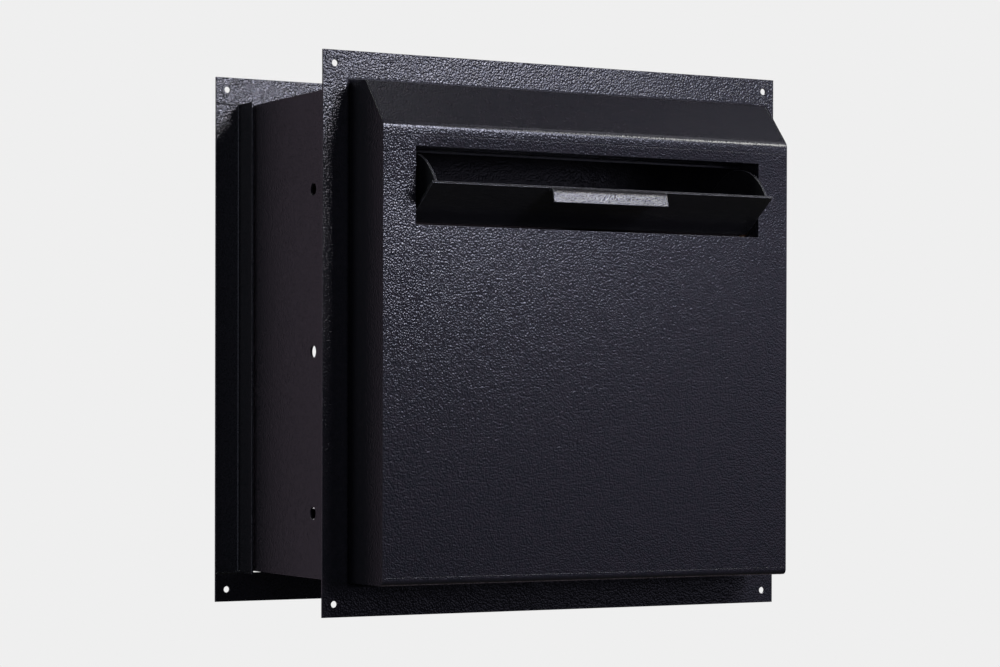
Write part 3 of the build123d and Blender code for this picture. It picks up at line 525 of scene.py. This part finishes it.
# the trim's edges take a wider rounding and a paler edge tone: painted edge highlight along the
# wings' front edges, on top of rubbed coat
trim_coat = powder_coat("trim_coat", (0.0150, 0.0155, 0.0190), (0.0205, 0.0185, 0.0225),
                        0.120, 0.15, edge_mm=0.8, edge_wear_and_highlight_tone=0.22, shine=0.64)
finish(trim_coat, "trim_top", "trim_bottom", "trim_left", "trim_right")

outer, wing_x = 1000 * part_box("trim_top")[1][0], 1000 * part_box("trim_right")[0][0]
front_y, back_y = (1000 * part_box("trim_top")[i][1] for i in (0, 1))
top_z, bottom_z = 1000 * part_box("trim_top")[0][2], 1000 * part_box("trim_bottom")[1][2]
skin("trim_corner_welds", "trim", "textured_coat", trim_coat, *(
    weld_bead((side * (outer - 0.4), y, z), (side * (wing_x + 1.2), y, z), (0, lean, 0), 1.6, 0.75,
              ripple=2.0, wander=0.8, seed=int(z + 300) + side + lean)
    for side in (-1, 1) for z in (top_z, bottom_z) for y, lean in ((front_y, -1), (back_y, 1))
))


def spatter(centre, size, seed):
    """A frozen drop: a ball whose radius is a few slow waves of latitude and longitude."""
    up = np.radians(np.linspace(-86, 86, 14))[:, None]
    turn = np.linspace(0, 2 * np.pi, 20, endpoint=False)
    a, b, c = np.random.default_rng(seed).uniform(0, 6, 3)
    radius = size * (1 + 0.14 * np.sin(3 * turn + a) * np.cos(up) + 0.12 * np.sin(2 * up + b)
                     + 0.05 * np.sin(5 * turn + c) * np.cos(up))
    ball = np.stack([np.cos(up) * np.cos(turn), np.cos(up) * np.sin(turn),
                     np.sin(up) + 0 * turn], -1)
    return np.asarray(centre, float) + radius[..., None] * ball


# drops: how far out from the wing and from the strip's face, how high, and how large
drops = (
    (1.2, 0.6, bottom_z + 1.0, 1.2), (0.6, 1.6, top_z - 2.0, 0.8), (3.5, 0.2, bottom_z + 0.2, 0.8))
skin("trim_spatter", "trim", "textured_coat", trim_coat, *(
    spatter((side * (wing_x + across), front_y - out, z), size, seed)
    for side in (-1, 1) for seed, (across, out, z, size) in enumerate(drops, start=7)
))

# ---------------------------------------------------------------- light, backdrop and camera
# A pale backdrop runs on into a pale floor. Both show as one even tone, and the glow that the box
# mirrors from behind and from below is set apart from them.

pale = (0.863, 0.863, 0.863)
world = bpy.data.worlds.new("studio")
bpy.context.scene.world = world
world.use_nodes = True
tree = world.node_tree
tree.nodes.clear()
compass = parts(tree, put(tree, "ShaderNodeTexCoord").outputs["Generated"])
wall = between(tree, compass["Y"], 0.2, 0.75, 0.0, 0.140)
ground = between(tree, times(tree, compass["Z"], -1.0), 0.2, 0.75, 0.0, 0.029)
behind = put(tree, "ShaderNodeBackground", {}, {"Color": (1.24, 1.0, 1.28, 1), "Strength": wall})
below = put(tree, "ShaderNodeBackground", {}, {"Color": (1.0, 1.0, 0.6, 1), "Strength": ground})
lit = put(tree, "ShaderNodeAddShader", {}, {0: behind.outputs[0], 1: below.outputs[0]})
seen = put(tree, "ShaderNodeBackground", {}, {"Color": (*pale, 1)})
ray = put(tree, "ShaderNodeLightPath").outputs["Is Camera Ray"]
choose = put(tree, "ShaderNodeMixShader", {}, {0: ray, 1: lit.outputs[0], 2: seen.outputs[0]})
put(tree, "ShaderNodeOutputWorld", {}, {"Surface": choose.outputs[0]})


def softbox(name, place, size, power, colour, aim=(0, 0, 0.05)):
    """A square soft light at a place, turned towards a point on the box."""
    data = bpy.data.lights.new(name, "AREA")
    data.shape, data.size, data.size_y = "RECTANGLE", size, size
    data.energy, data.color = power, colour
    lamp = bpy.data.objects.new(name, data)
    bpy.context.scene.collection.objects.link(lamp)
    lamp.location = place
    lamp.rotation_mode = "QUATERNION"
    lamp.rotation_quaternion = (Vector(aim) - Vector(place)).to_track_quat("-Z", "Y")


# two small boxes before the face rake its beads, wide ones fill from both sides, small high ones
# and the pair above catch the flange, the hood and the trim frame, and one behind lights the door
softbox("key", (0.35, -1.39, 0.65), 0.30, 5.0, (1.0, 0.97, 1.10))
softbox("key_side", (0.5, -1.25, 0.55), 0.36, 3.6, (0.95, 1.0, 1.30))
softbox("right_wide", (1.6, -1.7, 0.8), 2.0, 4.9, (1.02, 1.0, 1.36))
softbox("right_low", (1.4, -2.0, -0.3), 2.2, 0.4, (1.0, 1.0, 1.3), aim=(0, 0, 0))
softbox("right_high", (1.1, -1.15, 1.05), 0.4, 7.0, (1.0, 1.0, 0.95))
softbox("top", (0.35, 0.1, 1.8), 0.7, 0.8, (1.0, 1.0, 1.05))
softbox("top_right", (1.1, -0.6, 1.5), 0.8, 2.0, (1.0, 1.0, 1.1))
softbox("left_wide", (-1.3, -1.7, 0.1), 1.8, 4.0, (0.95, 1.0, 1.30))
softbox("left_high", (-1.0, 0.25, 1.5), 0.4, 6.0, (0.93, 1.0, 0.90))
softbox("rear", (1.1, 2.2, 1.0), 1.2, 16.0, (1.0, 0.99, 1.03), aim=(0, 0.2, 0))

floor_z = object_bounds()[0][2]
floor_corners = [(x, y, floor_z) for x, y in ((-4, -4), (4, -4), (4, 6), (-4, 6))]
floor_mesh = bpy.data.meshes.new("floor")
floor_mesh.from_pydata(floor_corners, [], [(0, 1, 2, 3)])
floor = bpy.data.objects.new("floor", floor_mesh)
bpy.context.scene.collection.objects.link(floor)
floor_paper = bpy.data.materials.new("floor_paper")
floor_paper.use_nodes = True
tree = floor_paper.node_tree
even = put(tree, "ShaderNodeEmission", {}, {"Color": (*pale, 1), "Strength": 1.0})
tree.links.new(even.outputs[0], tree.nodes["Material Output"].inputs["Surface"])
floor_mesh.materials.append(floor_paper)
floor.visible_diffuse = floor.visible_glossy = False
floor.visible_shadow = floor.visible_transmission = False

# the camera stands off to the front left, a little below the middle, with its lens shifted up
yaw, pitch, roll = (math.radians(a) for a in (28.716, -0.406, 0.127))
forward = Vector((
    math.sin(yaw) * math.cos(pitch), math.cos(yaw) * math.cos(pitch), math.sin(pitch)))
level = Vector((math.cos(yaw), -math.sin(yaw), 0))
upright = level.cross(forward)
right = math.cos(roll) * level + math.sin(roll) * upright
up = -math.sin(roll) * level + math.cos(roll) * upright
turned_to = Matrix((right, up, -forward)).transposed().to_4x4()
camera = bpy.data.objects.new("camera", bpy.data.cameras.new("camera"))
bpy.context.scene.collection.objects.link(camera)
camera.data.lens, camera.data.sensor_width, camera.data.shift_y = 101.89, 36.0, 0.10
camera.matrix_world = Matrix.Translation((-1.0597, -1.8464, -0.0571)) @ turned_to
bpy.context.scene.camera = camera
bpy.context.scene.view_settings.view_transform = "Standard"
